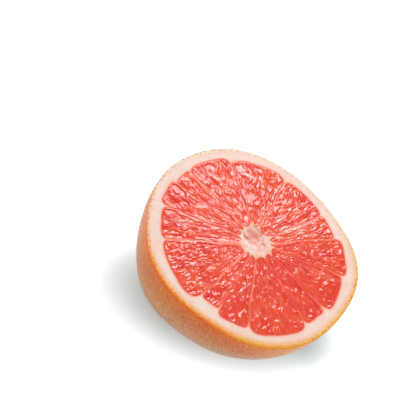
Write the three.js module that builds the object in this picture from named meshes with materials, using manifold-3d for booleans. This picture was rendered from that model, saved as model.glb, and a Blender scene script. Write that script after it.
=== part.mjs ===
// Half a grapefruit, cut across the middle, lying on its blossom end with the cut face up.
// Millimetres, +Z up. The origin is the middle of the small flat spot that it rests on.
import * as THREE from 'three';
import { mergeVertices } from 'three/addons/utils/BufferGeometryUtils.js';
import Module from 'manifold-3d';

const wasm = await Module();
wasm.setup();

// The peel, from the flat spot up to the cut
const meanRadius = 52.4;
const cutHeight = 51;
const flattened = 0.5; // what the flat spot takes off the round bottom
const fullness = 2.1; // 2 gives an ellipse in side view, more a squarer shoulder
const sidesAround = 84;
const stepsUp = 17;

// The middle of the cut face. The cut isn't quite square to the fruit's axis, so the face isn't
// straight above the flat spot, and everything on it is drawn about its own middle.
const face = { x: 4.1, y: 3.4 };

// The cut face isn't a true circle: each wave adds size * cos(times * (angle - at)) to its radius
const outlineWaves = [
  { times: 1, size: 0.3, at: 240 },
  { times: 2, size: 1.1, at: 22 },
  { times: 3, size: 0.55, at: 26.5 },
  { times: 4, size: 0.75, at: 45 },
  { times: 5, size: 0.5, at: 33.5 },
  { times: 7, size: 0.2, at: 36 },
];

// The pithy core, a little off the middle of the face, with a shallow hollow in it
const core = { x: -0.5, y: 2.5, radius: 9.8, tipRadius: 6.0 };
const coreHollow = { x: -2.4, y: 3.4, halfLength: 5.6, halfWidth: 5.0, depth: 1.2 };

// The flesh stands a little proud of the pith, with a thin groove over each membrane
const fleshRise = 0.6;
const fleshRounding = 0.2;
const fleshRoot = 3; // how far each segment's solid reaches down into the half before it is joined
const membraneThickness = 0.8;
const shoulder = 1.2; // a segment's outer corners start to round this far inside the pith
const cornerReach = 1.3; // how squarely they round: the pulls along the wall
const crownReach = 0.58; // and along the outer end

// One entry for each segment, anticlockwise. angle and radius are where the membrane at its
// clockwise side meets the pith, coreAngle is where that membrane leaves the core, and crown is the
// radius of the flesh midway to the next membrane. tip is for a segment that reaches further in.
const segments = [
  { angle: 0, radius: 39.5, coreAngle: 0, crown: 46.1 },
  { angle: 28, radius: 45.4, coreAngle: 28, crown: 48.2 },
  { angle: 53.7, radius: 44.6, coreAngle: 44, crown: 45.0 },
  { angle: 70.5, radius: 43.4, coreAngle: 65, crown: 44.8, tip: 3.0 },
  { angle: 102.5, radius: 42.5, coreAngle: 113, crown: 45.8 },
  { angle: 140.4, radius: 43.7, coreAngle: 139, crown: 46.8 },
  { angle: 170.7, radius: 45.4, coreAngle: 169, crown: 46.3 },
  { angle: 184, radius: 46.0, coreAngle: 188, crown: 47.6 },
  { angle: 202.8, radius: 43.7, coreAngle: 209, crown: 46.1 },
  { angle: 225.7, radius: 44.0, coreAngle: 237, crown: 46.4 },
  { angle: 266.8, radius: 38.8, coreAngle: 269, crown: 41.6 },
  { angle: 280.4, radius: 41.0, coreAngle: 286, crown: 44.3 },
  { angle: 301.3, radius: 41.6, coreAngle: 304, crown: 45.9 },
  { angle: 341, radius: 42.4, coreAngle: 336, crown: 44.0 },
];

const radians = THREE.MathUtils.degToRad;

function polar(radius, angle, middle = { x: 0, y: 0 }) {
  const turn = radians(angle);
  return new THREE.Vector2(middle.x + radius * Math.cos(turn), middle.y + radius * Math.sin(turn));
}

// A geometry as a manifold solid: shared corners are merged and collapsed triangles dropped
function toSolid(geometry) {
  const bare = geometry.clone();
  bare.deleteAttribute('normal');
  bare.deleteAttribute('uv');
  const merged = mergeVertices(bare, 1e-4);
  const corners = merged.index.array;
  const kept = [];
  for (let i = 0; i < corners.length; i += 3) {
    const [a, b, c] = corners.slice(i, i + 3);
    if (a !== b && b !== c && c !== a) kept.push(a, b, c);
  }
  return new wasm.Manifold(new wasm.Mesh({
    numProp: 3,
    vertProperties: new Float32Array(merged.attributes.position.array),
    triVerts: new Uint32Array(kept),
  }));
}

function toGeometry(solid) {
  const mesh = solid.getMesh();
  const geometry = new THREE.BufferGeometry();
  geometry.setAttribute('position', new THREE.BufferAttribute(mesh.vertProperties, 3));
  geometry.setIndex(new THREE.BufferAttribute(mesh.triVerts, 1));
  geometry.computeVertexNormals();
  return geometry;
}

// The peel's side view, turned about +Z, then pushed out of round and leant towards the face
function peelGeometry() {
  const fullDepth = cutHeight + flattened;
  const radiusAt = (depth) => meanRadius * (1 - (depth / fullDepth) ** fullness) ** (1 / fullness);
  const profile = [new THREE.Vector2(0, 0)];
  for (let step = 0; step <= stepsUp; step += 1) {
    // The steps crowd towards the flat spot, where the side view curves most
    const depth = cutHeight * Math.cos((step / stepsUp) * Math.PI / 2);
    profile.push(new THREE.Vector2(radiusAt(depth), cutHeight - depth));
  }
  profile.push(new THREE.Vector2(0, cutHeight));
  const geometry = new THREE.LatheGeometry(profile, sidesAround);
  geometry.rotateX(Math.PI / 2);
  const points = geometry.attributes.position;
  for (let i = 0; i < points.count; i += 1) {
    const angle = Math.atan2(points.getY(i), points.getX(i));
    const stretch = outlineWaves.reduce(
      (sum, wave) => sum + wave.size * Math.cos(wave.times * (angle - radians(wave.at))) / meanRadius,
      1,
    );
    const lean = 1 - (1 - points.getZ(i) / cutHeight) ** 2;
    points.setX(i, points.getX(i) * stretch + lean * face.x);
    points.setY(i, points.getY(i) * stretch + lean * face.y);
  }
  return geometry;
}

// The side of a segment that lies along a membrane, from the core out to the pith.
// side is 1 for the segment anticlockwise of the membrane and -1 for the other.
function wallOf(membrane, side) {
  const start = polar(core.radius, membrane.coreAngle, core);
  const end = polar(membrane.radius - shoulder, membrane.angle);
  const along = end.clone().sub(start).normalize();
  const aside = new THREE.Vector2(-along.y, along.x).multiplyScalar(side * membraneThickness / 2);
  return { start: start.add(aside), end: end.add(aside), along };
}

// A segment seen from above: a blunt tip at the core, two straight walls and an arched outer end
function segmentShape(segment, next) {
  const near = wallOf(segment, 1);
  const far = wallOf(next, -1);
  const sweep = (next.angle - segment.angle + 360) % 360;
  const crownAngle = segment.angle + sweep / 2;
  const crown = polar(segment.crown, crownAngle);
  const round = polar(1, crownAngle + 90);
  const coreSweep = (next.coreAngle - segment.coreAngle + 360) % 360;
  const tip = polar(segment.tip ?? core.tipRadius, segment.coreAngle + coreSweep / 2, core);
  const outward = (wall) => {
    const rise = Math.max(segment.crown - wall.end.length(), shoulder);
    return wall.end.clone().addScaledVector(wall.along, cornerReach * rise);
  };
  const sideways = (wall, side) => {
    const reach = crownReach * wall.end.distanceTo(crown);
    return crown.clone().addScaledVector(round, side * reach);
  };
  const shape = new THREE.Shape();
  shape.moveTo(near.start.x, near.start.y);
  shape.lineTo(near.end.x, near.end.y);
  const nearOut = outward(near);
  const nearIn = sideways(near, -1);
  shape.bezierCurveTo(nearOut.x, nearOut.y, nearIn.x, nearIn.y, crown.x, crown.y);
  const farIn = sideways(far, 1);
  const farOut = outward(far);
  shape.bezierCurveTo(farIn.x, farIn.y, farOut.x, farOut.y, far.end.x, far.end.y);
  shape.lineTo(far.start.x, far.start.y);
  shape.quadraticCurveTo(tip.x, tip.y, near.start.x, near.start.y);
  return shape;
}

function segmentGeometry(segment, next) {
  const geometry = new THREE.ExtrudeGeometry(segmentShape(segment, next), {
    depth: fleshRoot,
    curveSegments: 7,
    bevelEnabled: true,
    bevelThickness: fleshRounding,
    bevelSize: fleshRounding,
    bevelOffset: -fleshRounding,
    bevelSegments: 2,
  });
  return geometry.translate(face.x, face.y, cutHeight + fleshRise - fleshRoot - fleshRounding);
}

function coreHollowGeometry() {
  const { x, y, halfLength, halfWidth, depth } = coreHollow;
  const geometry = new THREE.SphereGeometry(1, 28, 12).scale(halfLength, halfWidth, depth);
  return geometry.translate(face.x + x, face.y + y, cutHeight);
}

let half = toSolid(peelGeometry());
segments.forEach((segment, i) => {
  const next = segments[(i + 1) % segments.length];
  half = half.add(toSolid(segmentGeometry(segment, next)));
});
half = half.subtract(toSolid(coreHollowGeometry()));

const grapefruitHalf = new THREE.Mesh(
  toGeometry(half),
  new THREE.MeshStandardMaterial({ color: 0xe9523f, roughness: 0.4, metalness: 0 }),
);
grapefruitHalf.name = 'grapefruit_half';

const grapefruit = new THREE.Group();
grapefruit.add(grapefruitHalf);

export default grapefruit;
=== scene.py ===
import math
import bmesh
import bpy
import numpy as np
from mathutils import Matrix, Vector, noise


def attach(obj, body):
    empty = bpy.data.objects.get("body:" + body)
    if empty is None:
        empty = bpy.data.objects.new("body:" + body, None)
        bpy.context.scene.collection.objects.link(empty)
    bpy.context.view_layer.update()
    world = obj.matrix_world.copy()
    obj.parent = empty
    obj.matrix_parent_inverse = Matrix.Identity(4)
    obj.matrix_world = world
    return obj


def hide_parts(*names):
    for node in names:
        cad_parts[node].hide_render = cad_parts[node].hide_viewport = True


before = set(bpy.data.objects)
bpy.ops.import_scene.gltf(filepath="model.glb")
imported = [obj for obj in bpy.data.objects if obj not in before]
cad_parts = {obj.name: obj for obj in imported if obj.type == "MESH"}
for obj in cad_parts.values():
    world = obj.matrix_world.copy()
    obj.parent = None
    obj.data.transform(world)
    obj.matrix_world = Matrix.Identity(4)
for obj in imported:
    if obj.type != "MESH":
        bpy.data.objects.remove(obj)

print("half grapefruit: frame loaded")
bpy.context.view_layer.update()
mm = 0.001
nodeName = "grapefruit_half"

# the plan of the fruit, in millimetres, the same one that the solid is built from
plan = {
    "radius": 52.4,
    "cutHeight": 51.0,
    "flattened": 0.5,
    "fullness": 2.1,
    "face": (4.1, 3.4),
    # times, size, angle
    "waves": [(1, 0.3, 240), (2, 1.1, 22), (3, 0.55, 26.5), (4, 0.75, 45), (5, 0.5, 33.5),
              (7, 0.2, 36)],
    "core": (-0.5, 2.5),
    "coreRadius": 9.8,
    "tipRadius": 6.0,
    "longTip": (3, 3.0),   # one segment reaches further in
    "membrane": 0.3,
    "shoulder": 1.2,
    "cornerReach": 1.3,
    "crownReach": 0.58,
}

# angle and radius where a membrane meets the pith, its angle at the core, and how far the
# flesh after it reaches out
segments = [
    (0, 39.5, 0, 46.1), (28, 45.4, 28, 48.2), (53.7, 44.6, 44, 45.0), (70.5, 43.4, 65, 44.8),
    (102.5, 42.5, 113, 45.8), (140.4, 43.7, 139, 46.8), (170.7, 45.4, 169, 46.3),
    (184, 46.0, 188, 47.6), (202.8, 43.7, 209, 46.1), (225.7, 44.0, 237, 46.4),
    (266.8, 38.8, 269, 41.6), (280.4, 41.0, 286, 44.3), (301.3, 41.6, 304, 45.9),
    (341, 42.4, 336, 44.0),
]

# how clearly each membrane shows, from 0, as red as the flesh, to 1
membraneShows = (0.0, 0.0, 0.5, 0.5, 0.15, 0.15, 0.55, 0.3, 0.2, 0.6, 0.55, 0.15, 0.5, 0.0)
# each shows this clearly at its outer end, which fades over this many millimetres
showsAtEnd = (0.8, 6.0)


def outlineRadius(angle):
    radius = plan["radius"]
    return radius + sum(size * np.cos(times * (angle - math.radians(at)))
                        for times, size, at in plan["waves"])


def polar(radius, angle, middle=(0.0, 0.0)):
    turn = math.radians(angle)
    return np.array([middle[0] + radius * math.cos(turn), middle[1] + radius * math.sin(turn)])


def newObject(name, data):
    item = bpy.data.objects.new(name, data)
    bpy.context.scene.collection.objects.link(item)
    return item


def newMesh(name, bm):
    mesh = bpy.data.meshes.new(name)
    bm.to_mesh(mesh)
    bm.free()
    return mesh


def newPiece(name, bm):
    piece = newObject(name, newMesh(name, bm))
    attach(piece, "root")
    return piece


def getPoints(mesh):
    points = np.empty(len(mesh.vertices) * 3, np.float32)
    mesh.vertices.foreach_get("co", points)
    return points.reshape(-1, 3).astype(np.float64)


def setPoints(mesh, points):
    mesh.vertices.foreach_set("co", points.astype(np.float32).ravel())
    mesh.update()


def setValues(mesh, **values):
    # numbers on every point that the materials read
    for name, numbers in values.items():
        layer = mesh.attributes.new(name, "FLOAT", "POINT")
        layer.data.foreach_set("value", numbers.astype(np.float32))


def onFace(x, y, z):
    # points measured from the middle of the cut face, in millimetres, as the mesh has them
    return np.stack([x + plan["face"][0], y + plan["face"][1], z], 1) * mm


def smoothFaces(bm):
    bmesh.ops.recalc_face_normals(bm, faces=bm.faces[:])
    for face in bm.faces:
        face.smooth = True


def closeBelow(bm):
    # a flat sheet becomes a closed lid: a wall goes down from its sharp edge and is capped
    edges = [e for e in bm.edges if e.is_boundary]
    for edge in edges:
        edge.smooth = False
    grown = bmesh.ops.extrude_edge_only(bm, edges=edges)["geom"]
    for vert in (v for v in grown if isinstance(v, bmesh.types.BMVert)):
        vert.co.z = -1
    bmesh.ops.holes_fill(bm, edges=[e for e in bm.edges if e.is_boundary], sides=0)
    smoothFaces(bm)


def smoothNoise(points, size, seed, octaves=2):
    shift = Vector((seed * 7.31, seed * -3.17, seed * 1.93))
    return np.array([noise.fractal(Vector(p) / size + shift, 1.0, 2.0, octaves) for p in points])


def bodyPoint(direction):
    # a unit vector below the cut becomes a point of the skin
    fullDepth = plan["cutHeight"] + plan["flattened"]
    flatRadius = np.hypot(direction[:, 0], direction[:, 1])
    angle = np.arctan2(direction[:, 1], direction[:, 0])
    power = plan["fullness"]
    length = (flatRadius ** power + np.abs(direction[:, 2]) ** power) ** (-1 / power)
    radial = flatRadius * length * outlineRadius(angle)
    height = plan["cutHeight"] - np.abs(direction[:, 2]) * length * fullDepth
    height = np.maximum(height, 0.0)
    lean = 1 - (1 - height / plan["cutHeight"]) ** 2
    x = radial * np.cos(angle) + lean * plan["face"][0]
    y = radial * np.sin(angle) + lean * plan["face"][1]
    return np.stack([x, y, height], 1)


peel = {
    "cellsPerSide": 168,
    "rimWidth": 1.4,
    "rimSteps": 4,
    "tray": 2.0,           # how deep the tray is that the pith lies in
    "edgeDrop": 0.12,
    "undulation": 0.10,
    "undulationSizes": (9.0, 3.2),
    "scarRadius": 2.6,
    "scarDepth": 0.4,
}


def makePeel():
    # a cube with fine square faces is blown up to a round, and its upper half is cut away
    cells = peel["cellsPerSide"]
    bm = bmesh.new()
    bmesh.ops.create_cube(bm, size=2.0)
    bmesh.ops.subdivide_edges(bm, edges=bm.edges[:], cuts=cells - 1, use_grid_fill=True)
    bmesh.ops.bisect_plane(bm, geom=bm.verts[:] + bm.edges[:] + bm.faces[:], dist=1e-6,
                           plane_co=(0, 0, 0), plane_no=(0, 0, 1), clear_outer=True)
    # the cut edge of the skin: level steps inwards, then one step down into the tray
    rim = [e for e in bm.edges if e.is_boundary]
    lastStep = peel["rimSteps"] + 1
    for step in range(1, lastStep + 1):
        grown = bmesh.ops.extrude_edge_only(bm, edges=rim)["geom"]
        rim = [e for e in grown if isinstance(e, bmesh.types.BMEdge) and e.is_boundary]
        for vert in (v for v in grown if isinstance(v, bmesh.types.BMVert)):
            vert.co.z = step
        if step == peel["rimSteps"]:
            for edge in rim:
                edge.smooth = False
    bmesh.ops.holes_fill(bm, edges=rim, sides=0)
    smoothFaces(bm)
    piece = newPiece("peel", bm)

    marks = getPoints(piece.data)
    onRim = marks[:, 2] > 0.5
    step = np.where(onRim, marks[:, 2], 0)
    direction = marks.copy()
    direction[onRim, 2] = 0
    direction = np.tan(direction * math.pi / 4)
    direction /= np.linalg.norm(direction, axis=1)[:, None]
    points = bodyPoint(direction)
    # a gentle unevenness that fades out at the flat spot and at the cut
    below = plan["cutHeight"] - points[:, 2]
    fade = np.clip(points[:, 2] / 3, 0, 1) * np.clip(below / 4, 0, 1)
    large, small = peel["undulationSizes"]
    wave = smoothNoise(points, large, 3) + 0.5 * smoothNoise(points, small, 5)
    points += direction * (wave * fade * peel["undulation"])[:, None]
    # the cut edge and the tray
    angle = np.arctan2(direction[:, 1], direction[:, 0])
    level = np.clip(step, 0, peel["rimSteps"]) / peel["rimSteps"]
    inset = peel["rimWidth"] * level ** 0.8
    radius = outlineRadius(angle) - inset
    rimPoints = np.stack([plan["face"][0] + radius * np.cos(angle),
                          plan["face"][1] + radius * np.sin(angle),
                          np.full(len(angle), plan["cutHeight"])], 1)
    rimPoints[step > peel["rimSteps"], 2] -= peel["tray"]
    points[onRim] = rimPoints[onRim]
    edge = (~onRim) & (below < 0.01)
    points[edge, 2] -= peel["edgeDrop"]
    # a small sunken scar where the flower was, in the middle of the flat spot
    fromScar = np.hypot(points[:, 0], points[:, 1]) / peel["scarRadius"]
    sunken = peel["scarDepth"] * np.clip(1 - fromScar ** 2, 0, 1)
    points[:, 2] += np.where(points[:, 2] < 3, sunken, 0)
    setPoints(piece.data, points * mm)
    setValues(piece.data, inset=np.where(onRim, inset, 0), belowCut=np.where(onRim, 0, below))
    return piece


pith = {
    "ringStep": 0.5,
    "thickness": 1.9,
    "unevenness": 0.10,
    "unevenSizes": (6.0, 1.6),
    "sponge": 0.30,            # how uneven the core is
    "spongeSizes": (2.6, 0.9),
    "underFlesh": 0.7,
    "membraneRise": 0.03,
    "hollow": {"x": -2.4, "y": 3.4, "halfLength": 5.6, "halfWidth": 5.0, "depth": 1.0},
    # ovals: x, y, half length, half width and turn, pinkish stains on the core and a brown fleck
    "stains": ((-3.0, 4.6, 3.8, 3.4, 90), (-0.6, 1.6, 1.5, 1.2, 0), (3.2, 3.9, 1.6, 1.2, 0)),
    "fleck": (-4.9, 0.9, 1.8, 0.9, 0),
}


def spot(x, y, oval, unrest):
    # 1 in the middle of an oval, 0 outside it, with an uneven edge
    middleX, middleY, halfLength, halfWidth, turn = oval
    cos, sin = polar(1, turn)
    dx, dy = x - middleX, y - middleY
    away = np.hypot((dx * cos + dy * sin) / halfLength, (dy * cos - dx * sin) / halfWidth) + unrest
    return np.clip(1.6 - 1.2 * away, 0, 1)


def spots(x, y, ovals, unrest):
    return np.max([spot(x, y, oval, unrest) for oval in ovals], axis=0)


def makePith():
    # a disc of rings, spun from one line of points, that lies in the peel's tray
    around = 4 * peel["cellsPerSide"]
    rings = int((plan["radius"] - peel["rimWidth"]) / pith["ringStep"])
    bm = bmesh.new()
    line = [bm.verts.new((ring / rings, 0, 0)) for ring in range(rings + 1)]
    spokes = [bm.edges.new(pair) for pair in zip(line, line[1:])]
    bmesh.ops.spin(bm, geom=line + spokes, axis=(0, 0, 1), cent=(0, 0, 0), steps=around,
                   angle=2 * math.pi, use_merge=True)
    bmesh.ops.remove_doubles(bm, verts=bm.verts[:], dist=1e-5)
    closeBelow(bm)
    piece = newPiece("pith", bm)

    marks = getPoints(piece.data)
    share = np.hypot(marks[:, 0], marks[:, 1])
    angle = np.arctan2(marks[:, 1], marks[:, 0])
    outer = outlineRadius(angle) - peel["rimWidth"]
    x = share * outer * np.cos(angle)
    y = share * outer * np.sin(angle)
    flat = np.stack([x, y, np.zeros(len(x))], 1)
    fade = np.clip((1 - share) * outer / 1.5, 0, 1)
    large, small = pith["unevenSizes"]
    wave = smoothNoise(flat, large, 9) + 0.5 * smoothNoise(flat, small, 4)
    height = pith["unevenness"] * fade * wave
    # the core is spongy and has a shallow hollow with an uneven edge
    hollow = pith["hollow"]
    away = np.hypot((x - hollow["x"]) / hollow["halfLength"],
                    (y - hollow["y"]) / hollow["halfWidth"]) + 0.22 * smoothNoise(flat, 3.0, 31)
    dip = np.clip(1.15 - away ** 2, 0, 1) ** 0.8
    height -= hollow["depth"] * dip
    fromCore = np.hypot(x - plan["core"][0], y - plan["core"][1])
    inCore = np.clip((plan["coreRadius"] + 0.6 - fromCore) / 2.0, 0, 1)
    large, small = pith["spongeSizes"]
    wave = smoothNoise(flat, large, 21, 3) + 0.35 * smoothNoise(flat, small, 2)
    height += inCore * pith["sponge"] * wave
    # below the segments it lies deeper, and stands up to their level only at the membranes
    toFlesh = distanceToFlesh(x, y)
    height -= pith["underFlesh"] * np.clip((-toFlesh - 0.6) / 0.6, 0, 1)
    height += pith["membraneRise"] * np.clip(1 - np.abs(toFlesh) / 0.4, 0, 1)
    z = np.where(marks[:, 2] < -0.5, -pith["thickness"], height) + plan["cutHeight"]
    setPoints(piece.data, onFace(x, y, z))
    unrest = 0.5 * smoothNoise(flat, 1.3, 61, 3)
    setValues(piece.data, inset=outer * (1 - share) + peel["rimWidth"], inCore=inCore,
              stain=spots(x, y, pith["stains"], unrest), fleck=spot(x, y, pith["fleck"], unrest),
              toFlesh=toFlesh, shows=showsAt(x, y))
    return piece


def bezier(points, t):
    ways = [np.outer(np.ones(len(t)), p) for p in points]
    t = t[:, None]
    while len(ways) > 1:
        ways = [a * (1 - t) + b * t for a, b in zip(ways, ways[1:])]
    return ways[0]


def evenly(curve, count):
    # the same curve with its points at equal distances
    run = np.concatenate([[0], np.cumsum(np.linalg.norm(np.diff(curve, axis=0), axis=1))])
    at = np.linspace(0, run[-1], count)
    return np.stack([np.interp(at, run, curve[:, i]) for i in (0, 1)], 1)


def wallOf(segment, side):
    # where the membrane starts and ends, and its direction; side 1 or -1 is a face of it, 0 its middle
    angle, radius, coreAngle = segment[:3]
    start = polar(plan["coreRadius"], coreAngle, plan["core"])
    end = polar(radius - plan["shoulder"], angle)
    along = (end - start) / np.linalg.norm(end - start)
    aside = np.array([-along[1], along[0]]) * side * plan["membrane"] / 2
    return start + aside, end + aside, along


def showsAt(x, y):
    # how clearly the nearest membrane shows
    mostShown, fadeLength = showsAtEnd
    points = np.stack([x, y], 1)
    nearest = np.full(len(x), 99.0)
    shows = np.zeros(len(x))
    patchy = np.clip(0.85 + 0.8 * smoothNoise(np.stack([x, y, 0 * x], 1), 2.6, 77), 0.2, 1)
    for segment, least in zip(segments, membraneShows):
        start, end, along = wallOf(segment, 0)
        length = np.linalg.norm(end - start)
        run = (points - start) @ along
        away = np.linalg.norm(points - start - np.outer(np.clip(run, 0, length), along), axis=1)
        value = least + (mostShown - least) * np.clip(1 - (length - run) / fadeLength, 0, 1)
        value = value * patchy
        shows = np.where(away < nearest, value, shows)
        nearest = np.minimum(nearest, away)
    return shows


def segmentEnds(index, count):
    # the inner and the outer end of a segment, each from its clockwise wall to the other
    segment = segments[index]
    following = segments[(index + 1) % len(segments)]
    crownRadius = segment[3]
    middle = segment[0] + ((following[0] - segment[0]) % 360) / 2
    crown = polar(crownRadius, middle)
    sideways = polar(1, middle + 90)
    coreMiddle = segment[2] + ((following[2] - segment[2]) % 360) / 2
    reachIn = plan["longTip"][1] if index == plan["longTip"][0] else plan["tipRadius"]
    tip = polar(reachIn, coreMiddle, plan["core"])
    near = wallOf(segment, 1)
    far = wallOf(following, -1)
    t = np.linspace(0, 1, 200)
    halves = []
    for (_, end, along), side in ((near, -1), (far, 1)):
        rise = max(crownRadius - np.linalg.norm(end), plan["shoulder"])
        reach = plan["crownReach"] * np.linalg.norm(end - crown)
        pull = end + along * plan["cornerReach"] * rise
        halves.append(bezier([end, pull, crown + sideways * side * reach, crown], t))
    outer = np.concatenate([halves[0], halves[1][::-1][1:]])
    inner = bezier([near[0], tip, far[0]], t)
    return evenly(inner, count), evenly(outer, count), near, far


def distanceToFlesh(x, y):
    # from any point of the face to the nearest outline of a segment, below zero inside one
    points = np.stack([x, y], 1)
    best = np.full(len(x), 9.0)
    for index in range(len(segments)):
        inner, outer = segmentEnds(index, 60)[:2]
        loop = np.concatenate([outer, inner[::-1]])
        loop = evenly(np.concatenate([loop, loop[:1]]), 360)
        low = loop.min(0) - 3
        high = loop.max(0) + 3
        close = np.all((points > low) & (points < high), axis=1)
        if not close.any():
            continue
        part = points[close]
        away = np.sqrt(((part[:, None, :] - loop[None, :, :]) ** 2).sum(2).min(1))
        ahead = np.roll(loop, -1, axis=0)
        px, py = part[:, 0][:, None], part[:, 1][:, None]
        crosses = (loop[:, 1] > py) != (ahead[:, 1] > py)
        drop = ahead[:, 1] - loop[:, 1]
        drop = np.where(np.abs(drop) < 1e-9, 1e-9, drop)
        hit = px < (ahead[:, 0] - loop[:, 0]) * (py - loop[:, 1]) / drop + loop[:, 0]
        inside = (crosses & hit).sum(1) % 2 == 1
        best[close] = np.minimum(best[close], np.where(inside, -away, away))
    return best


flesh = {
    "step": 0.28,
    "outlinePoints": 400,
    "depth": 1.6,
    "wallRise": 0.12,          # how far the flesh stands proud along the walls
    "bulbRise": 0.3,           # and at the outer end
    "edgeDrop": 0.02,
    "edgeWidth": 0.3,
    # how far a membrane wavers, over what length, and how that shifts from one to the next
    "waver": ((0.42, 4.7, 2.1), (0.2, 2.1, 1.0)),
    "firstRow": 6.0,           # how far from the middle of the core the sacs start
    "rowStep": 0.62,           # from one row to the next, as a share of a sac's length
    "sacWidth": 2.7,
    "sacLength": 9.0,
    "sacHeight": 0.3,
    # how the sacs wind: the size of the bends, how far they go and a seed
    "wind": ((6.0, 1.6, 41), (2.2, 0.5, 43)),
    "tilt": 0.08,
    "waves": 0.16,
    "waveSize": 2.8,
    "ripple": 0.03,
    # ovals: x, y, half length, half width and turn, where the cut is smooth and the sacs hardly show
    "smooth": ((26, 0, 4.4, 1.9, -9), (-4, -28, 7.5, 1.7, 90), (38.5, -0.8, 3.2, 2.4, 0),
               (42, 11.5, 4.5, 2.6, 90), (-16.5, 18.5, 3.6, 3.2, 90), (6.5, 34, 3.6, 2.6, 0)),
    # and where pale streaks lie across them: partly pale fibres, partly painted highlights of the wet
    # flesh
    "pale": ((10.3, 26.8, 9.5, 0.9, 68), (16.4, 27.3, 4.4, 0.7, 55), (-34, 14.8, 5.2, 0.9, 6),
             (-29.6, -4, 4.2, 0.7, 46), (-32, -18.3, 5.3, 0.6, 45), (-12.6, -30.2, 4.3, 0.7, 46),
             (9.7, -21.6, 3.2, 0.6, 80), (7, 13.9, 2.8, 0.8, 45), (-24, 30, 3.1, 1.0, 29)),
    "seed": 11,
}


def sacSeeds(draw, outTo, low, high):
    # juice sacs in rows from the core outwards: the middle, direction, width and length of each, its
    # fullness and how it tilts, across and along
    core = np.array(plan["core"])
    seeds = []
    radius = flesh["firstRow"]
    while radius < outTo + 4:
        # they are smaller near the core
        grow = 0.45 + 0.55 * min(radius / 40, 1)
        width = flesh["sacWidth"] * grow
        length = flesh["sacLength"] * (0.7 + 0.3 * grow)
        across = width / radius
        angle = low - across * draw.uniform(0.2, 1.2)
        while angle < high + across:
            out = radius + draw.uniform(-0.5, 0.5) * length
            lean = draw.normal(0, 0.16)
            turn = angle + draw.uniform(-0.3, 0.3) * across
            x, y = core + out * np.array([math.cos(turn), math.sin(turn)])
            seeds.append((x, y, turn + lean, width * draw.uniform(0.65, 1.4),
                          length * draw.uniform(0.6, 1.3), draw.uniform(0, 1),
                          draw.normal(0, 1), draw.normal(0, 1)))
            angle += across * draw.uniform(0.8, 1.3)
        radius += length * flesh["rowStep"]
    return np.array(seeds)


def foldTurn(turn):
    # the same direction, between minus and plus half a turn
    return (turn + math.pi) % (2 * math.pi) - math.pi


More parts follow.
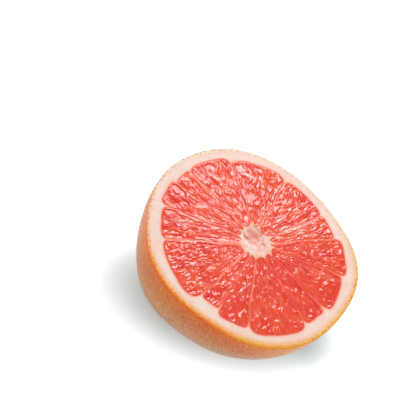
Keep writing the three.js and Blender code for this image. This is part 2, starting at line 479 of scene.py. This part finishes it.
def makeSegment(index):
    draw = np.random.default_rng(flesh["seed"] + index)
    count = flesh["outlinePoints"]
    inner, outer, near, far = segmentEnds(index, count)
    core = np.array(plan["core"])
    span = np.linalg.norm(outer[count // 2] - inner[count // 2])
    arch = np.linalg.norm(np.diff(outer, axis=0), axis=1).sum()
    alongCount = int(span / flesh["step"])
    acrossCount = int(arch / flesh["step"])
    bm = bmesh.new()
    bmesh.ops.create_grid(bm, x_segments=alongCount, y_segments=acrossCount, size=1.0)
    closeBelow(bm)
    piece = newPiece("segment_%02d" % (index + 1), bm)

    marks = getPoints(piece.data)
    out = (marks[:, 0] + 1) / 2
    over = (marks[:, 1] + 1) / 2
    at = np.linspace(0, 1, count)
    start = np.stack([np.interp(over, at, inner[:, i]) for i in (0, 1)], 1)
    end = np.stack([np.interp(over, at, outer[:, i]) for i in (0, 1)], 1)
    flat = start * (1 - out)[:, None] + end * out[:, None]
    # each membrane wavers a little, the same way for the segments at both its sides
    following = (index + 1) % len(segments)
    for wall, membrane, share in ((near, index, 1 - over), (far, following, over)):
        wallStart, wallEnd, ahead = wall
        along = (flat - wallStart) @ ahead
        toEnd = np.linalg.norm(wallEnd - wallStart) - along
        waver = sum(size * np.sin(along / length + membrane * shift)
                    for size, length, shift in flesh["waver"])
        waver *= np.clip(along / 6, 0, 1) * np.clip(toEnd / 4, 0, 1)
        flat += np.outer(waver * share, np.array([-ahead[1], ahead[0]]))

    top = marks[:, 2] > -0.5
    rim = top & ((out < 1e-6) | (out > 1 - 1e-6) | (over < 1e-6) | (over > 1 - 1e-6))
    outline = flat[rim]
    inside = np.sqrt(((flat[:, None, :] - outline[None, :, :]) ** 2).sum(2).min(1))

    middle = flat.mean(0) - core
    bearing = math.atan2(middle[1], middle[0])
    seen = outline - core
    turns = foldTurn(np.arctan2(seen[:, 1], seen[:, 0]) - bearing) + bearing
    distance = np.hypot(seen[:, 0], seen[:, 1])
    wide = turns[distance > 15]
    seeds = sacSeeds(draw, distance.max(), wide.min(), wide.max())
    # the sacs wind a little, so the points are shifted before each looks for its sac
    deep = np.stack([flat[:, 0], flat[:, 1], np.full(len(flat), 3.0 * index)], 1)
    wind = sum(bend * np.stack([smoothNoise(deep, size, seed), smoothNoise(deep, size, seed + 16)], 1)
               for size, bend, seed in flesh["wind"])
    gap = (flat + wind)[:, None, :] - seeds[None, :, :2]
    # how far every point is from every sac, as a share of the sac's own width and length
    direction, width, length = seeds[:, 2:5].T
    cos, sin = np.cos(direction), np.sin(direction)
    along = (gap[:, :, 0] * cos + gap[:, :, 1] * sin) / length
    across = -gap[:, :, 0] * sin + gap[:, :, 1] * cos
    # a sac is fatter at its outer end
    fat = width * (1 + 0.5 * np.clip(along, -1, 1))
    reach = np.sqrt(along ** 2 + (across / fat) ** 2)
    nearest = reach.argmin(1)
    two = np.partition(reach, 1, axis=1)[:, :2]
    rows = np.arange(len(flat))
    ownWidth, ownLength, fullness, tiltAcross, tiltAlong = seeds[nearest, 3:].T
    seam = np.clip(two[:, 1] - two[:, 0], 0, 1)
    dome = 1 - (1 - seam) ** 2
    slope = flesh["tilt"] * (tiltAcross * across[rows, nearest]
                             + 0.35 * tiltAlong * along[rows, nearest] * ownLength)
    # fine ripples lie along the segment, and slower waves across it all
    x, y = flat.T
    cos, sin = math.cos(bearing), math.sin(bearing)
    fibre = np.stack([(x * cos + y * sin) / 2.6, -x * sin + y * cos, wind[:, 0] * 0.8], 1)
    ripple = flesh["ripple"] * smoothNoise(fibre, 1.1, 71)
    ripple += flesh["waves"] * smoothNoise(deep, flesh["waveSize"], 83, 1)
    bulb = np.clip((out - 0.6) / 0.4, 0, 1) ** 2
    rise = flesh["wallRise"] + (flesh["bulbRise"] - flesh["wallRise"]) * bulb
    height = rise * (1 - np.exp(-inside / flesh["edgeWidth"])) - flesh["edgeDrop"]
    size = flesh["sacHeight"] * (0.4 + 0.8 * fullness) * ownWidth / flesh["sacWidth"]
    unrest = 0.35 * smoothNoise(deep, 2.0, 91)
    smooth = spots(x, y, flesh["smooth"], unrest)
    # pale streaks, partly pale fibres and partly painted highlights
    pale = spots(x, y, flesh["pale"], unrest)
    bumps = (dome * size + dome * slope + ripple) * (1 - 0.85 * smooth) - 0.15 + 0.1 * smooth
    height += np.clip(inside / 1.6, 0, 1) * bumps
    z = np.where(top, height, -flesh["depth"]) + plan["cutHeight"]
    setPoints(piece.data, onFace(x, y, z))
    setValues(piece.data, tone=fullness, tone2=np.clip(0.5 + 0.25 * tiltAcross, 0, 1),
              seam=seam * ownWidth / 2, edge=inside, smooth=smooth, pale=pale, shows=showsAt(x, y))
    # the grain runs out from the core, and differs from segment to segment
    grain = piece.data.uv_layers.new(name="grain")
    fromCore = flat - core
    reachOut = np.hypot(fromCore[:, 0], fromCore[:, 1])
    turn = foldTurn(np.arctan2(fromCore[:, 1], fromCore[:, 0]) - bearing)
    spread = np.stack([turn * 3.0 + index, reachOut / 10], 1)
    corners = np.empty(len(piece.data.loops), np.int32)
    piece.data.loops.foreach_get("vertex_index", corners)
    grain.data.foreach_set("uv", spread[corners].astype(np.float32).ravel())
    return piece


def tint(red, green, blue):
    # a colour as a screen shows it, 0 to 255
    linear = [(c / 255 / 12.92 if c < 10.3 else ((c / 255 + 0.055) / 1.055) ** 2.4)
              for c in (red, green, blue)]
    return (*linear, 1.0)


def feed(tree, socket, value):
    # a plain value or another node's output into a socket
    if isinstance(value, bpy.types.NodeSocket):
        tree.links.new(value, socket)
    else:
        socket.default_value = value


def add(tree, kind, inputs=None, **settings):
    node = tree.nodes.new(kind)
    for name, value in settings.items():
        setattr(node, name, value)
    for name, value in (inputs or {}).items():
        feed(tree, node.inputs[name], value)
    return node


def attribute(tree, name):
    return add(tree, "ShaderNodeAttribute", attribute_name=name).outputs["Fac"]


def mathNode(tree, operation, first, second=0.0):
    return add(tree, "ShaderNodeMath", {0: first, 1: second}, operation=operation).outputs[0]


def vectorNode(tree, operation, first, second=(0, 0, 0)):
    return add(tree, "ShaderNodeVectorMath", {0: first, 1: second}, operation=operation).outputs


def times(tree, first, second):
    return mathNode(tree, "MULTIPLY", first, second)


def plus(tree, first, second):
    return mathNode(tree, "ADD", first, second)


def minus(tree, first, second):
    return mathNode(tree, "SUBTRACT", first, second)


def stretch(tree, value, low, high, toLow=0.0, toHigh=1.0):
    # a smooth step from one range to another
    inputs = {"Value": value, "From Min": low, "From Max": high, "To Min": toLow, "To Max": toHigh}
    return add(tree, "ShaderNodeMapRange", inputs, interpolation_type="SMOOTHSTEP").outputs["Result"]


def clouds(tree, where, scale, detail=2.0, **more):
    inputs = {"Vector": where, "Scale": scale, "Detail": detail, **more}
    return add(tree, "ShaderNodeTexNoise", inputs).outputs["Fac"]


def cells(tree, where, scale, **settings):
    return add(tree, "ShaderNodeTexVoronoi", {"Vector": where, "Scale": scale}, **settings).outputs


def blend(tree, share, first, second):
    node = add(tree, "ShaderNodeMix", data_type="RGBA")
    for socket, value in ((node.inputs[0], share), (node.inputs[6], first), (node.inputs[7], second)):
        feed(tree, socket, value)
    return node.outputs[2]


def ramp(tree, value, stops):
    node = add(tree, "ShaderNodeValToRGB", {"Fac": value})
    points = node.color_ramp.elements
    while len(points) < len(stops):
        points.new(0.5)
    for point, (position, colour) in zip(points, stops):
        point.position = position
        point.color = colour
    return node.outputs["Color"]


def newMaterial(name):
    material = bpy.data.materials.new(name)
    material.use_nodes = True
    return material, material.node_tree, material.node_tree.nodes["Principled BSDF"]


def newGroup(name, inputs, outputs):
    group = bpy.data.node_groups.new(name, "ShaderNodeTree")
    for label, kind in inputs:
        group.interface.new_socket(label, in_out="INPUT", socket_type="NodeSocket" + kind)
    for label, kind in outputs:
        group.interface.new_socket(label, in_out="OUTPUT", socket_type="NodeSocket" + kind)
    entry = group.nodes.new("NodeGroupInput").outputs
    end = group.nodes.new("NodeGroupOutput").inputs
    return group, entry, end


def useGroup(tree, group, inputs):
    return add(tree, "ShaderNodeGroup", inputs, node_tree=group).outputs


def makeSpeckle():
    # fine dots in two sizes, 0 to 1, for spongy pith, cut skin and flesh
    group, entry, end = newGroup("speckle", [("Vector", "Vector"), ("Scale", "Float")],
                                 [("Value", "Float")])
    coarse = clouds(group, entry["Vector"], entry["Scale"], Roughness=0.65)
    fine = clouds(group, entry["Vector"], times(group, entry["Scale"], 2.7), 1.0)
    group.links.new(stretch(group, plus(group, coarse, fine), 0.75, 1.25), end["Value"])
    return group


rindCut = {
    # colours from the skin, at place 0, to the pith, at place 1, over this many millimetres
    "depth": 4.2,
    "places": (0.0, 0.14, 0.28, 0.42, 0.6, 1.0),
    "orange": ((248, 114, 18), (255, 142, 30), (255, 158, 58), (255, 176, 98), (255, 194, 142),
               (255, 208, 184)),
    "yellow": ((244, 162, 50), (254, 178, 66), (254, 186, 90), (252, 194, 122), (254, 202, 154),
               (255, 209, 186)),
    "pale": ((240, 204, 168), (250, 216, 192), (254, 220, 203), (255, 220, 205), (255, 219, 205),
             (255, 218, 204)),
    "start": 0.3,              # millimetres of them that the skin itself hides
    "wobble": 1.6,             # millimetres that they wander in and out
    "wobbleScale": 480.0,
    "white": tint(255, 234, 224),
    "gland": tint(226, 146, 40),
    "looseGland": tint(222, 146, 84),
    "glandsPerMetre": 500.0,
    "bulge": 1.1,              # millimetres that a gland reaches in
    "glandEnd": (1.3, 2.3),    # the row of glands ends between these depths
    "looseEnd": (2.4, 3.4),    # and the loose ones between these
    # the azimuth of a side, and how squarely it has to be faced before the effect starts and is full
    "orangeSide": (250, 0.6, 0.97),
    "colourSide": (310, -0.75, 0.5),
    "whiteSide": (200, 0.7, 1.0),
    "wideSide": (302, 0.8, 1.0),
    "wider": 1.3,              # millimetres that the colours reach further in on the wide side
}


def sideMask(tree, where, azimuth, low, high):
    # 1 on the side of the fruit that faces the azimuth and 0 on the far side
    middle = (plan["face"][0] * mm, plan["face"][1] * mm, 0)
    out = vectorNode(tree, "SUBTRACT", where, middle)[0]
    flat = vectorNode(tree, "MULTIPLY", out, (1, 1, 0))[0]
    unit = vectorNode(tree, "NORMALIZE", flat)[0]
    turn = math.radians(azimuth)
    facing = vectorNode(tree, "DOT_PRODUCT", unit, (math.cos(turn), math.sin(turn), 0))["Value"]
    return stretch(tree, facing, low, high)


def makeRindFade():
    # how the cut rind goes from the skin's orange, through oil glands, into the pale pith
    group, entry, end = newGroup("rindFade", [("Inset", "Float"), ("Vector", "Vector")],
                                 [("Color", "Color")])
    where = entry["Vector"]
    inset = entry["Inset"]
    wobble = clouds(group, where, rindCut["wobbleScale"])
    shift = times(group, minus(group, wobble, 0.5), rindCut["wobble"])
    # the oil glands lie side by side just inside the skin and scallop its inner edge
    glands = cells(group, where, rindCut["glandsPerMetre"], voronoi_dimensions="2D")
    inGland = stretch(group, glands["Distance"], 0.18, 0.42, 1.0, 0.0)
    inRow = stretch(group, inset, *rindCut["glandEnd"], 1.0, 0.0)
    bulge = times(group, times(group, inGland, inRow), rindCut["bulge"])
    wide = times(group, sideMask(group, where, *rindCut["wideSide"]), rindCut["wider"])
    deep = plus(group, minus(group, inset, wide), plus(group, shift, rindCut["start"]))
    share = mathNode(group, "DIVIDE", minus(group, deep, bulge), rindCut["depth"])
    bands = {}
    for name in ("orange", "yellow", "pale"):
        stops = [(position, tint(*rgb)) for position, rgb in zip(rindCut["places"], rindCut[name])]
        bands[name] = ramp(group, share, stops)
    orange = sideMask(group, where, *rindCut["orangeSide"])
    coloured = sideMask(group, where, *rindCut["colourSide"])
    colour = blend(group, orange, bands["yellow"], bands["orange"])
    colour = blend(group, coloured, bands["pale"], colour)
    whiter = times(group, sideMask(group, where, *rindCut["whiteSide"]),
                   stretch(group, share, 0.25, 0.6, 0.0, 0.6))
    colour = blend(group, whiter, colour, rindCut["white"])
    # a darker drop in the middle of each gland
    drop = stretch(group, glands["Distance"], 0.05, 0.28, 1.0, 0.0)
    drop = times(group, times(group, drop, inRow), stretch(group, coloured, 0.0, 1.0, 0.3, 0.75))
    colour = blend(group, drop, colour, rindCut["gland"])
    # and some loose ones, further in
    chosen = stretch(group, glands["Color"], 0.45, 0.5)
    between = times(group, stretch(group, inset, 0.3, 0.6),
                    stretch(group, deep, *rindCut["looseEnd"], 1.0, 0.0))
    loose = times(group, stretch(group, glands["Distance"], 0.1, 0.36, 0.5, 0.0), chosen)
    loose = times(group, loose, between)
    group.links.new(blend(group, loose, colour, rindCut["looseGland"]), end["Color"])
    return group


def setSurface(tree, shader, colour, relief, grains, look):
    # what the three materials share: colour, an uneven roughness, relief and soft light inside
    tree.links.new(colour, shader.inputs["Base Color"])
    least = look["roughness"] - look["unevenness"] / 2
    rough = plus(tree, times(tree, grains, look["unevenness"]), least)
    tree.links.new(rough, shader.inputs["Roughness"])
    bump = add(tree, "ShaderNodeBump", {"Height": relief, "Strength": look["bump"],
                                        "Distance": look["bumpDistance"]})
    tree.links.new(bump.outputs["Normal"], shader.inputs["Normal"])
    for name, value in look["surface"].items():
        shader.inputs[name].default_value = value


zestLook = {
    "golden": tint(243, 160, 62),
    "blush": tint(229, 110, 36),
    "pale": tint(252, 174, 88),
    "low": tint(242, 168, 95),         # well below the cut
    "flankSheen": tint(194, 148, 92),       # painted sheen: a greyer tone where the side turns under, for the pale surroundings seen in it at a grazing angle
    "gland": tint(200, 54, 6),
    "glow": tint(255, 118, 10),        # light that comes through the skin just below the cut
    "glowFar": tint(250, 160, 54),     # on the sides away from the blush
    "scar": tint(150, 112, 74),
    # the azimuth of a side, and how squarely it has to be faced before the effect starts and is full
    "blushSide": (250, -0.2, 0.9),
    "glowSide": (250, 0.3, 0.97),
    "flankSheenSide": (325, 0.6, 1.0),
    "flankSheenHigher": 9.0,        # millimetres that the painted sheen starts further up on that side
    "shine": 0.08,             # how much light comes through the skin close to the cut
    "patchScale": 26.0,
    "mottleScale": 420.0,
    "glandsPerMetre": 840.0,
    "glandWander": 0.0007,     # metres
    "roughness": 0.4,
    "unevenness": 0.12,
    "bump": 0.3,
    "bumpDistance": 0.00005,
    "surface": {
        "Specular IOR Level": 0.2,
        "Subsurface Weight": 0.3,
        "Subsurface Radius": (1.0, 0.3, 0.08),
        "Subsurface Scale": 0.0015,
    },
}


def makeZest(speckle, rindFade):
    material, tree, shader = newMaterial("zest")
    where = add(tree, "ShaderNodeTexCoord").outputs["Object"]
    belowCut = attribute(tree, "belowCut")
    inset = attribute(tree, "inset")
    patches = clouds(tree, where, zestLook["patchScale"], 3.0)
    mottle = useGroup(tree, speckle, {"Vector": where, "Scale": zestLook["mottleScale"]})["Value"]
    blush = plus(tree, stretch(tree, patches, 0.35, 0.65, 0.0, 0.4),
                 times(tree, sideMask(tree, where, *zestLook["blushSide"]), 0.7))
    skin = blend(tree, blush, zestLook["golden"], zestLook["blush"])
    skin = blend(tree, times(tree, mottle, 0.4), skin, zestLook["pale"])
    skin = blend(tree, stretch(tree, belowCut, 3.0, 20.0, 0.0, 0.85), skin, zestLook["low"])
    # painted sheen: a greyer tone where the side turns under, for the pale surroundings reflected at a
    # grazing angle, from higher up on one side
    higher = times(tree, sideMask(tree, where, *zestLook["flankSheenSide"]), zestLook["flankSheenHigher"])
    flankSheen = times(tree, stretch(tree, plus(tree, belowCut, higher), 16.0, 30.0, 0.0, 0.6),
                  stretch(tree, belowCut, 32.0, 44.0, 1.0, 0.0))
    skin = blend(tree, flankSheen, skin, zestLook["flankSheen"])
    # light comes through the thin skin just below the cut
    glowColour = blend(tree, sideMask(tree, where, *zestLook["glowSide"]),
                       zestLook["glowFar"], zestLook["glow"])
    skin = blend(tree, stretch(tree, belowCut, 0.2, 3.0, 0.85, 0.0), skin, glowColour)
    shine = times(tree, stretch(tree, belowCut, 0.0, 12.0, zestLook["shine"], 0.0),
                  stretch(tree, belowCut, 0.0, 0.1))
    tree.links.new(shine, shader.inputs["Emission Strength"])
    shader.inputs["Emission Color"].default_value = zestLook["glow"]
    # oil glands, a little out of place
    warp = add(tree, "ShaderNodeTexNoise", {"Vector": where, "Scale": 260.0}).outputs["Color"]
    bent = vectorNode(tree, "MULTIPLY", warp, [zestLook["glandWander"]] * 3)[0]
    moved = vectorNode(tree, "ADD", where, bent)[0]
    toGland = cells(tree, moved, zestLook["glandsPerMetre"])["Distance"]
    dot = times(tree, stretch(tree, toGland, 0.05, 0.7, 1.0, 0.0),
                stretch(tree, patches, 0.3, 0.7, 0.65, 1.0))
    skin = blend(tree, dot, skin, zestLook["gland"])
    # the scar of the flower, in the middle underneath
    fromScar = vectorNode(tree, "LENGTH", where)["Value"]
    edge = plus(tree, fromScar, times(tree, mottle, 0.0006))
    skin = blend(tree, stretch(tree, edge, 0.0018, 0.0032, 0.85, 0.0), skin, zestLook["scar"])
    # the cut edge has the colours of the rind, and no pits
    onCut = stretch(tree, inset, 0.0, 0.12)
    cut = useGroup(tree, rindFade, {"Inset": inset, "Vector": where})["Color"]
    relief = plus(tree, stretch(tree, toGland, 0.0, 0.5), times(tree, mottle, 0.3))
    relief = times(tree, relief, minus(tree, 1.0, onCut))
    setSurface(tree, shader, blend(tree, onCut, skin, cut), relief, mottle, zestLook)
    return material


pithLook = {
    "pale": tint(255, 236, 226),
    "pink": tint(254, 203, 186),
    "nearFlesh": tint(252, 188, 164),
    "faint": tint(241, 58, 34),        # a membrane that hardly shows
    "membrane": tint(254, 124, 96),
    "membranePale": tint(255, 170, 144),
    "core": tint(253, 178, 159),
    "corePale": tint(255, 234, 226),
    "coreEdge": tint(254, 202, 156),
    "stain": tint(232, 130, 108),
    "brown": tint(204, 104, 62),
    "through": tint(255, 97, 80),      # light that comes through the thin membranes
    "throughLevel": 0.25,
    "patchScale": 150.0,
    "grainScale": 1300.0,
    "poreScale": 420.0,
    "roughness": 0.475,
    "unevenness": 0.15,
    "bump": 0.5,
    "bumpDistance": 0.00012,
    "surface": {
        "Specular IOR Level": 0.3,
        "Subsurface Weight": 0.2,
        "Subsurface Radius": (1.0, 0.6, 0.45),
        "Subsurface Scale": 0.0012,
    },
}


def makePithMaterial(speckle, rindFade):
    material, tree, shader = newMaterial("pith")
    where = add(tree, "ShaderNodeTexCoord").outputs["Object"]
    inset = attribute(tree, "inset")
    toFlesh = attribute(tree, "toFlesh")
    core = attribute(tree, "inCore")
    grains = useGroup(tree, speckle, {"Vector": where, "Scale": pithLook["grainScale"]})["Value"]
    pores = useGroup(tree, speckle, {"Vector": where, "Scale": pithLook["poreScale"]})["Value"]
    patches = clouds(tree, where, pithLook["patchScale"])
    mixed = plus(tree, times(tree, grains, 0.7), stretch(tree, patches, 0.35, 0.65, 0.0, 0.3))
    colour = blend(tree, mixed, pithLook["pale"], pithLook["pink"])
    fade = useGroup(tree, rindFade, {"Inset": inset, "Vector": where})["Color"]
    inFade = times(tree, stretch(tree, inset, 2.6, 4.4, 1.0, 0.0),
                   stretch(tree, grains, 0.0, 1.0, 1.0, 0.6))
    colour = blend(tree, inFade, colour, fade)
    # the core: spongy, paler, with pinkish stains and a brown fleck
    sponge = blend(tree, pores, pithLook["core"], pithLook["corePale"])
    colour = blend(tree, stretch(tree, core, 0.0, 1.0, 0.0, 0.9), colour, sponge)
    stain = times(tree, attribute(tree, "stain"), stretch(tree, pores, 0.0, 1.0, 1.0, 0.55))
    colour = blend(tree, stain, colour, pithLook["stain"])
    fleck = stretch(tree, attribute(tree, "fleck"), 0.1, 0.6, 0.0, 0.85)
    colour = blend(tree, fleck, colour, pithLook["brown"])
    # pinker beside the flesh, and red where a membrane is thin
    beside = stretch(tree, toFlesh, 0.1, 1.5, 0.7, 0.0)
    colour = blend(tree, beside, colour, pithLook["nearFlesh"])
    thin = blend(tree, stretch(tree, patches, 0.42, 0.6),
                 pithLook["membrane"], pithLook["membranePale"])
    thin = blend(tree, attribute(tree, "shows"), pithLook["faint"], thin)
    thin = blend(tree, core, thin, pithLook["coreEdge"])
    colour = blend(tree, stretch(tree, toFlesh, 0.1, 0.5, 0.9, 0.0), colour, thin)
    through = times(tree, stretch(tree, toFlesh, 0.2, 0.5, pithLook["throughLevel"], 0.0),
                    minus(tree, 1.0, core))
    tree.links.new(through, shader.inputs["Emission Strength"])
    shader.inputs["Emission Color"].default_value = pithLook["through"]
    relief = plus(tree, grains, times(tree, patches, 1.5))
    setSurface(tree, shader, colour, relief, grains, pithLook)
    return material


fleshLook = {
    "red": tint(241, 61, 33),
    "deep": tint(229, 42, 27),
    "bright": tint(249, 83, 48),
    "fibre": tint(254, 130, 102),
    # pale streaks: pale fibres that also stand in as painted highlights
    "pale": tint(255, 214, 204),
    "warm": tint(253, 92, 42),
    "seam": tint(250, 138, 108),
    "warmScale": 90.0,         # patches of a warmer and of a deeper red
    "deepScale": 45.0,
    "grainScale": 600.0,
    # fibres and veins are drawn out along the sacs: scales across, along, and of the pattern itself
    "fibreStretch": (12.0, 3.0, 1.0),
    "veinStretch": (4.0, 1.5, 1.0),
    "fibreScale": 1.6,
    "roughness": 0.135,
    "unevenness": 0.04,
    "bump": 0.3,
    "bumpDistance": 0.00005,
    "surface": {
        "IOR": 1.38,           # wet flesh bends light hardly more than water does
        "Subsurface Weight": 0.35,
        "Subsurface Radius": (1.0, 0.2, 0.1),
        "Subsurface Scale": 0.0025,
    },
}


def makeFleshMaterial(speckle):
    material, tree, shader = newMaterial("flesh")
    where = add(tree, "ShaderNodeTexCoord").outputs["Object"]
    tone = attribute(tree, "tone")
    tone2 = attribute(tree, "tone2")
    edge = attribute(tree, "edge")
    plain = stretch(tree, attribute(tree, "smooth"), 0.0, 1.0, 1.0, 0.15)
    grains = useGroup(tree, speckle, {"Vector": where, "Scale": fleshLook["grainScale"]})["Value"]
    colour = ramp(tree, tone, [(0.0, fleshLook["deep"]), (0.5, fleshLook["red"]),
                               (1.0, fleshLook["bright"])])
    # pale fibres along the sacs
    grainMap = add(tree, "ShaderNodeUVMap", uv_map="grain").outputs["UV"]
    drawnOut = add(tree, "ShaderNodeMapping", {"Vector": grainMap, "Scale": fleshLook["fibreStretch"]})
    fibres = clouds(tree, drawnOut.outputs["Vector"], fleshLook["fibreScale"], 3.0, Distortion=0.8)
    streak = times(tree, stretch(tree, fibres, 0.55, 0.72), stretch(tree, tone2, 0.2, 0.9, 0.05, 0.4))
    colour = blend(tree, times(tree, streak, plain), colour, fleshLook["fibre"])
    # thin pale veins
    drawnOut = add(tree, "ShaderNodeMapping", {"Vector": grainMap, "Scale": fleshLook["veinStretch"],
                                               "Location": (3.0, 7.0, 0.0)})
    waves = clouds(tree, drawnOut.outputs["Vector"], fleshLook["fibreScale"], Distortion=1.6)
    fromLine = mathNode(tree, "ABSOLUTE", minus(tree, waves, 0.5))
    veins = times(tree, stretch(tree, fromLine, 0.0, 0.03, 0.55, 0.0), stretch(tree, fibres, 0.4, 0.6))
    colour = blend(tree, times(tree, veins, plain), colour, fleshLook["fibre"])
    # the places where pale streaks lie across the sacs: partly pale fibres, partly painted highlights
    fibresAndGlints = times(tree, attribute(tree, "pale"), stretch(tree, fibres, 0.36, 0.54, 0.15, 1.0))
    colour = blend(tree, fibresAndGlints, colour, fleshLook["pale"])
    # a slow drift between a warmer and a deeper red
    warm = clouds(tree, where, fleshLook["warmScale"])
    colour = blend(tree, stretch(tree, warm, 0.42, 0.62, 0.0, 0.45), colour, fleshLook["warm"])
    deep = clouds(tree, where, fleshLook["deepScale"], 1.0)
    colour = blend(tree, stretch(tree, deep, 0.45, 0.65, 0.0, 0.55), colour, fleshLook["deep"])
    # paler between the sacs, and along the walls where the membrane shows
    onSeam = stretch(tree, attribute(tree, "seam"), 0.0, 0.22, 1.0, 0.0)
    onSeam = times(tree, onSeam, stretch(tree, edge, 0.3, 1.8))
    onSeam = times(tree, onSeam, stretch(tree, tone2, 0.2, 0.8, 0.05, 0.5))
    colour = blend(tree, times(tree, onSeam, plain), colour, fleshLook["seam"])
    wall = times(tree, stretch(tree, edge, 0.0, 1.0, 0.75, 0.0), attribute(tree, "shows"))
    colour = blend(tree, wall, colour, fleshLook["seam"])
    relief = plus(tree, fibres, times(tree, grains, 0.1))
    setSurface(tree, shader, colour, relief, grains, fleshLook)
    return material


light = {
    "ambient": 0.74,
    "keyAzimuth": 101.5,
    "keyElevation": 45.0,
    "keyDistance": 0.75,
    "keySize": 0.2,
    "keyPower": 1.7,
    "floorReach": 3.0,
    "floor": (0.527, 0.60, 0.620),   # a little blue, against the red that the fruit throws on it
    "floorGlow": (0.26, 1.0),
    "shadowTint": (0.93, 0.99, 1.0),
    # the shadow is an oval: its middle and half sizes in metres, its turn, and how it ends
    "shadowMiddle": (0.0130, 0.0031, 0.0),
    "shadowSize": (0.0466, 0.0236, 1.0),
    "shadowTurn": 33.9,
    "shadowFade": (0.75, 1.94),
    # and it is deepest round here, beside the fruit
    "deepMiddle": (0.0514, 0.0216, 0.0),
    "deepRadius": 0.0252,
    "deepShare": 0.95,
}


def seenItself(tree):
    # 1 for what is seen itself, in a gloss or through something clear, 0 for the light it throws
    path = add(tree, "ShaderNodeLightPath").outputs
    seen = mathNode(tree, "MAXIMUM", path["Is Camera Ray"], path["Is Glossy Ray"])
    return mathNode(tree, "MAXIMUM", seen, path["Is Transmission Ray"])


def makeFloor():
    bm = bmesh.new()
    bmesh.ops.create_grid(bm, x_segments=4, y_segments=4, size=light["floorReach"])
    floor = newObject("floor", newMesh("floor", bm))
    material, tree, shader = newMaterial("paleFloor")
    shader.inputs["Base Color"].default_value = (*light["floor"], 1)
    shader.inputs["Roughness"].default_value = 0.9
    shader.inputs["Specular IOR Level"].default_value = 0.1
    # the floor looks white where nothing shades it, and keeps the shadow of the fruit
    where = add(tree, "ShaderNodeTexCoord").outputs["Object"]
    oval = add(tree, "ShaderNodeMapping", {"Vector": where, "Location": light["shadowMiddle"],
                                           "Rotation": (0, 0, math.radians(light["shadowTurn"])),
                                           "Scale": light["shadowSize"]}, vector_type="TEXTURE")
    away = vectorNode(tree, "LENGTH", oval.outputs[0])["Value"]
    glow = stretch(tree, away, *light["shadowFade"], *light["floorGlow"])
    fromDeep = vectorNode(tree, "DISTANCE", where, light["deepMiddle"])["Value"]
    glow = times(tree, glow, stretch(tree, fromDeep, 0.0, light["deepRadius"],
                                     1 - light["deepShare"], 1.0))
    tree.links.new(times(tree, glow, seenItself(tree)), shader.inputs["Emission Strength"])
    colour = blend(tree, stretch(tree, away, *light["shadowFade"]),
                   (*light["shadowTint"], 1), (1, 1, 1, 1))
    tree.links.new(colour, shader.inputs["Emission Color"])
    floor.data.materials.append(material)


def faceMiddle():
    return Vector((*plan["face"], plan["cutHeight"])) * mm


def makeLight():
    azimuth = math.radians(light["keyAzimuth"])
    elevation = math.radians(light["keyElevation"])
    towards = Vector((math.cos(elevation) * math.cos(azimuth), math.cos(elevation) * math.sin(azimuth),
                      math.sin(elevation)))
    data = bpy.data.lights.new("key", "AREA")
    data.shape = "DISK"
    data.size = light["keySize"]
    data.energy = light["keyPower"]
    key = newObject("key", data)
    key.location = faceMiddle() + towards * light["keyDistance"]
    key.rotation_euler = towards.to_track_quat("Z", "Y").to_euler()

    world = bpy.data.worlds.new("softBox")
    world.use_nodes = True
    bpy.context.scene.world = world
    tree = world.node_tree
    strength = stretch(tree, seenItself(tree), 0.0, 1.0, light["ambient"], 1.0)
    background = tree.nodes["Background"]
    background.inputs["Color"].default_value = (1, 1, 1, 1)
    tree.links.new(strength, background.inputs["Strength"])


camera = {
    "elevation": 50.34,
    "roll": 42.03,
    "distance": 0.56,
    "lens": 108.96,
    "yaw": 2.551,
    "pitch": 2.118,
}


def makeCamera():
    elevation = math.radians(camera["elevation"])
    back = Vector((0, -math.cos(elevation), math.sin(elevation)))
    turn = (Matrix.Rotation(math.pi / 2 - elevation, 4, "X")
            @ Matrix.Rotation(math.radians(camera["roll"]), 4, "Z")
            @ Matrix.Rotation(math.radians(camera["yaw"]), 4, "Y")
            @ Matrix.Rotation(math.radians(camera["pitch"]), 4, "X"))
    data = bpy.data.cameras.new("view")
    data.lens = camera["lens"]
    data.sensor_width = 36.0
    data.clip_start = 0.01
    view = newObject("view", data)
    view.matrix_world = Matrix.Translation(faceMiddle() + back * camera["distance"]) @ turn
    bpy.context.scene.camera = view


speckle = makeSpeckle()
rindFade = makeRindFade()
zestMaterial = makeZest(speckle, rindFade)
pithMaterial = makePithMaterial(speckle, rindFade)
fleshMaterial = makeFleshMaterial(speckle)
print("materials made")

skin = makePeel()
skin.data.materials.append(zestMaterial)
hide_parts(nodeName)
print("peel made:", len(skin.data.vertices), "points")

disc = makePith()
disc.data.materials.append(pithMaterial)
print("pith made:", len(disc.data.vertices), "points")

for number in range(len(segments)):
    segment = makeSegment(number)
    segment.data.materials.append(fleshMaterial)
print("segments made:", len(segments))

makeFloor()
makeLight()
makeCamera()
bpy.context.scene.view_settings.view_transform = "Standard"
print("floor, light and camera set")
